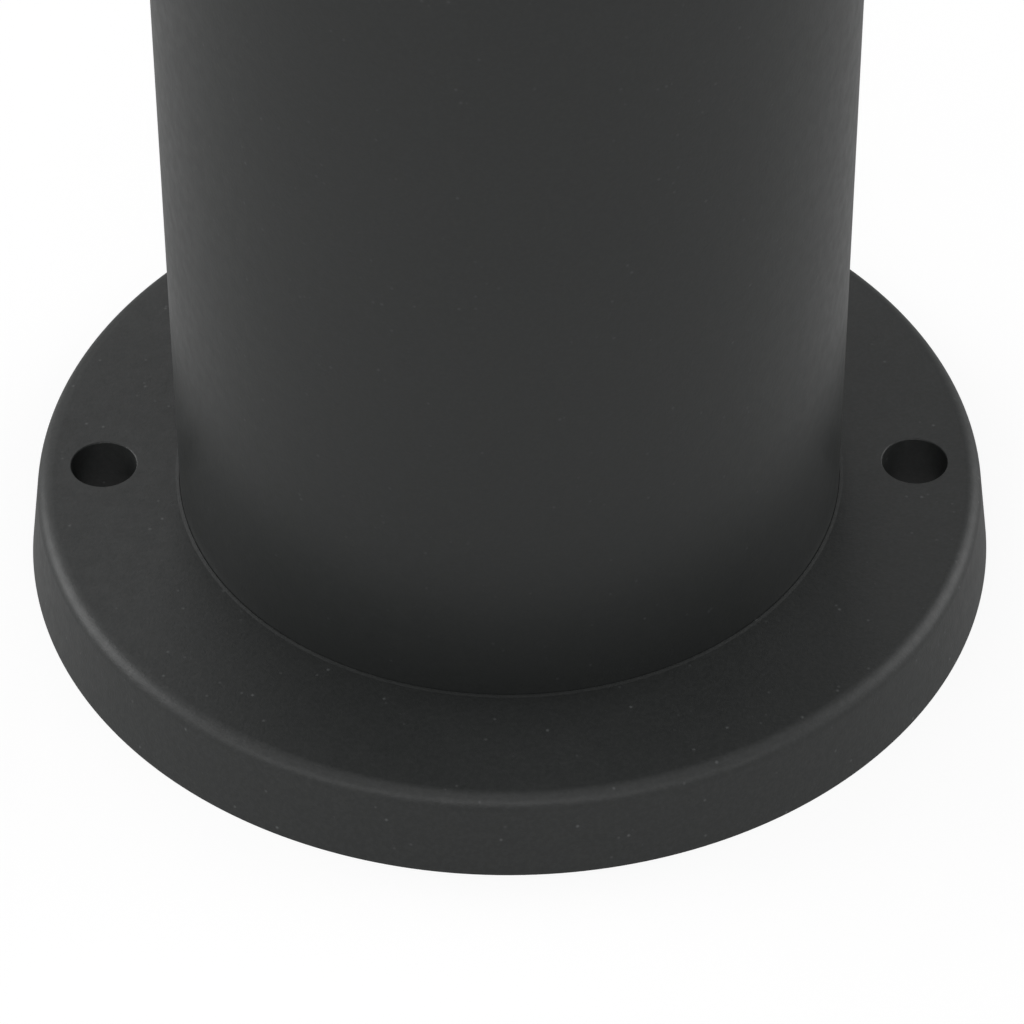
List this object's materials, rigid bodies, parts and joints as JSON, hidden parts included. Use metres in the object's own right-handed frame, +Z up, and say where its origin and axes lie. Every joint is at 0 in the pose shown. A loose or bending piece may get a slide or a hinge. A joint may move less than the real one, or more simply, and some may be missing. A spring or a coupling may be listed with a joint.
{
  "type": "garden bollard light",
  "caption": "Round powder-coated bollard post on a shallow two-hole foot, with a louvred clear light band and a flush cap at the top.",
  "frame": {"origin": "on the ground under the foot, at the post's axis", "axes": "+Z up along the post; the two fixing holes lie along X"},
  "size_m": [0.111, 0.111, 0.5],
  "materials": {
    "coated_aluminium": "fine-textured anthracite powder coat, satin",
    "stainless": "bright stainless fasteners",
    "zinc_steel": "zinc-plated sheet",
    "brass": "plain brass",
    "rubber": "matt black",
    "fibre": "fibre gasket",
    "nylon": "natural nylon",
    "porcelain": "glazed porcelain",
    "clear_plastic": "clear polished polycarbonate",
    "opal": "opal diffusing",
    "lamp_white": "smooth white",
    "lamp_shell": "nickel plated",
    "black_insulator": "black vitrite",
    "reflector_white": "gloss white",
    "wire_brown": "wire insulation",
    "wire_blue": "wire insulation",
    "wire_green": "wire insulation",
    "sleeve_white": "woven glass sleeve"
  },
  "bodies": {
    "post": {"base_flange": "coated_aluminium", "foot_gasket": "rubber", "base_screws": "stainless", "cable_grommet": "rubber", "terminal_bracket": "zinc_steel", "bracket_screws": "stainless", "cable_saddle": "nylon", "saddle_screws": "stainless", "terminal_block": "nylon", "block_screws": "stainless", "terminal_clamps": "brass", "terminal_screws": "zinc_steel", "live_wire": "wire_brown", "neutral_wire": "wire_blue", "earth_wire": "wire_green", "wire_sleeves": "sleeve_white", "post_tube": "coated_aluminium", "collar_gasket": "fibre", "head_collar": "coated_aluminium", "collar_screws": "stainless", "lampholder_strap": "zinc_steel", "strap_screws": "stainless", "earth_lug": "brass", "earth_screw": "brass", "lampholder_body": "porcelain", "lampholder_shell": "brass", "centre_contact": "brass", "holder_terminals": "brass", "holder_nipple": "zinc_steel", "nipple_nut": "zinc_steel", "tie_rods": "stainless", "louvre_rings": "coated_aluminium", "louvre_spacers": "stainless", "lower_seal": "rubber"},
    "diffuser": {"diffuser": "clear_plastic"},
    "cap": {"upper_seal": "rubber", "cap_reflector": "reflector_white", "top_cap": "coated_aluminium"},
    "washer_1": {"cap_washer_1": "nylon"},
    "washer_2": {"cap_washer_2": "nylon"},
    "washer_3": {"cap_washer_3": "nylon"},
    "screw_1": {"cap_screw_1": "stainless"},
    "screw_2": {"cap_screw_2": "stainless"},
    "screw_3": {"cap_screw_3": "stainless"},
    "globe": {"lamp_globe": "opal"},
    "lamp": {"lamp_housing": "lamp_white", "lamp_cap": "lamp_shell", "lamp_insulator": "black_insulator", "lamp_contact": "lamp_shell"}
  },
  "joints": [
    {"name": "diffuser_lift", "type": "slide", "parent": "post", "child": "diffuser", "axis": [0, 0, 1], "range_m": [0, 0.115]},
    {"name": "cap_lift", "type": "slide", "parent": "diffuser", "child": "cap", "axis": [0, 0, 1], "range_m": [0, 0.06]},
    {"name": "screw_1_rise", "type": "slide", "parent": "cap", "child": "washer_1", "axis": [0, 0, 1], "range_m": [0, 0.01022]},
    {"name": "screw_1_turn", "type": "hinge", "parent": "washer_1", "child": "screw_1", "pos_m": [0.02425, 0.014, 0.4968], "axis": [0, 0, 1], "range_deg": [0, 5260]},
    {"name": "screw_2_rise", "type": "slide", "parent": "cap", "child": "washer_2", "axis": [0, 0, 1], "range_m": [0, 0.01022]},
    {"name": "screw_2_turn", "type": "hinge", "parent": "washer_2", "child": "screw_2", "pos_m": [-0.02425, 0.014, 0.4968], "axis": [0, 0, 1], "range_deg": [0, 5260]},
    {"name": "screw_3_rise", "type": "slide", "parent": "cap", "child": "washer_3", "axis": [0, 0, 1], "range_m": [0, 0.01022]},
    {"name": "screw_3_turn", "type": "hinge", "parent": "washer_3", "child": "screw_3", "pos_m": [0, -0.028, 0.4968], "axis": [0, 0, 1], "range_deg": [0, 5260]},
    {"name": "lamp_rise", "type": "slide", "parent": "post", "child": "globe", "axis": [0, 0, 1], "range_m": [0, 0.0128]},
    {"name": "lamp_turn", "type": "hinge", "parent": "globe", "child": "lamp", "pos_m": [0, 0, 0.39], "axis": [0, 0, 1], "range_deg": [0, 1260]}
  ],
  "couplings": [
    {"joint": "screw_1_turn", "follows": "screw_1_rise", "rad_per_m": 8976},
    {"joint": "screw_2_turn", "follows": "screw_2_rise", "rad_per_m": 8976},
    {"joint": "screw_3_turn", "follows": "screw_3_rise", "rad_per_m": 8976},
    {"joint": "lamp_rise", "follows": "lamp_turn", "m_per_rad": 0.00057757}
  ]
}
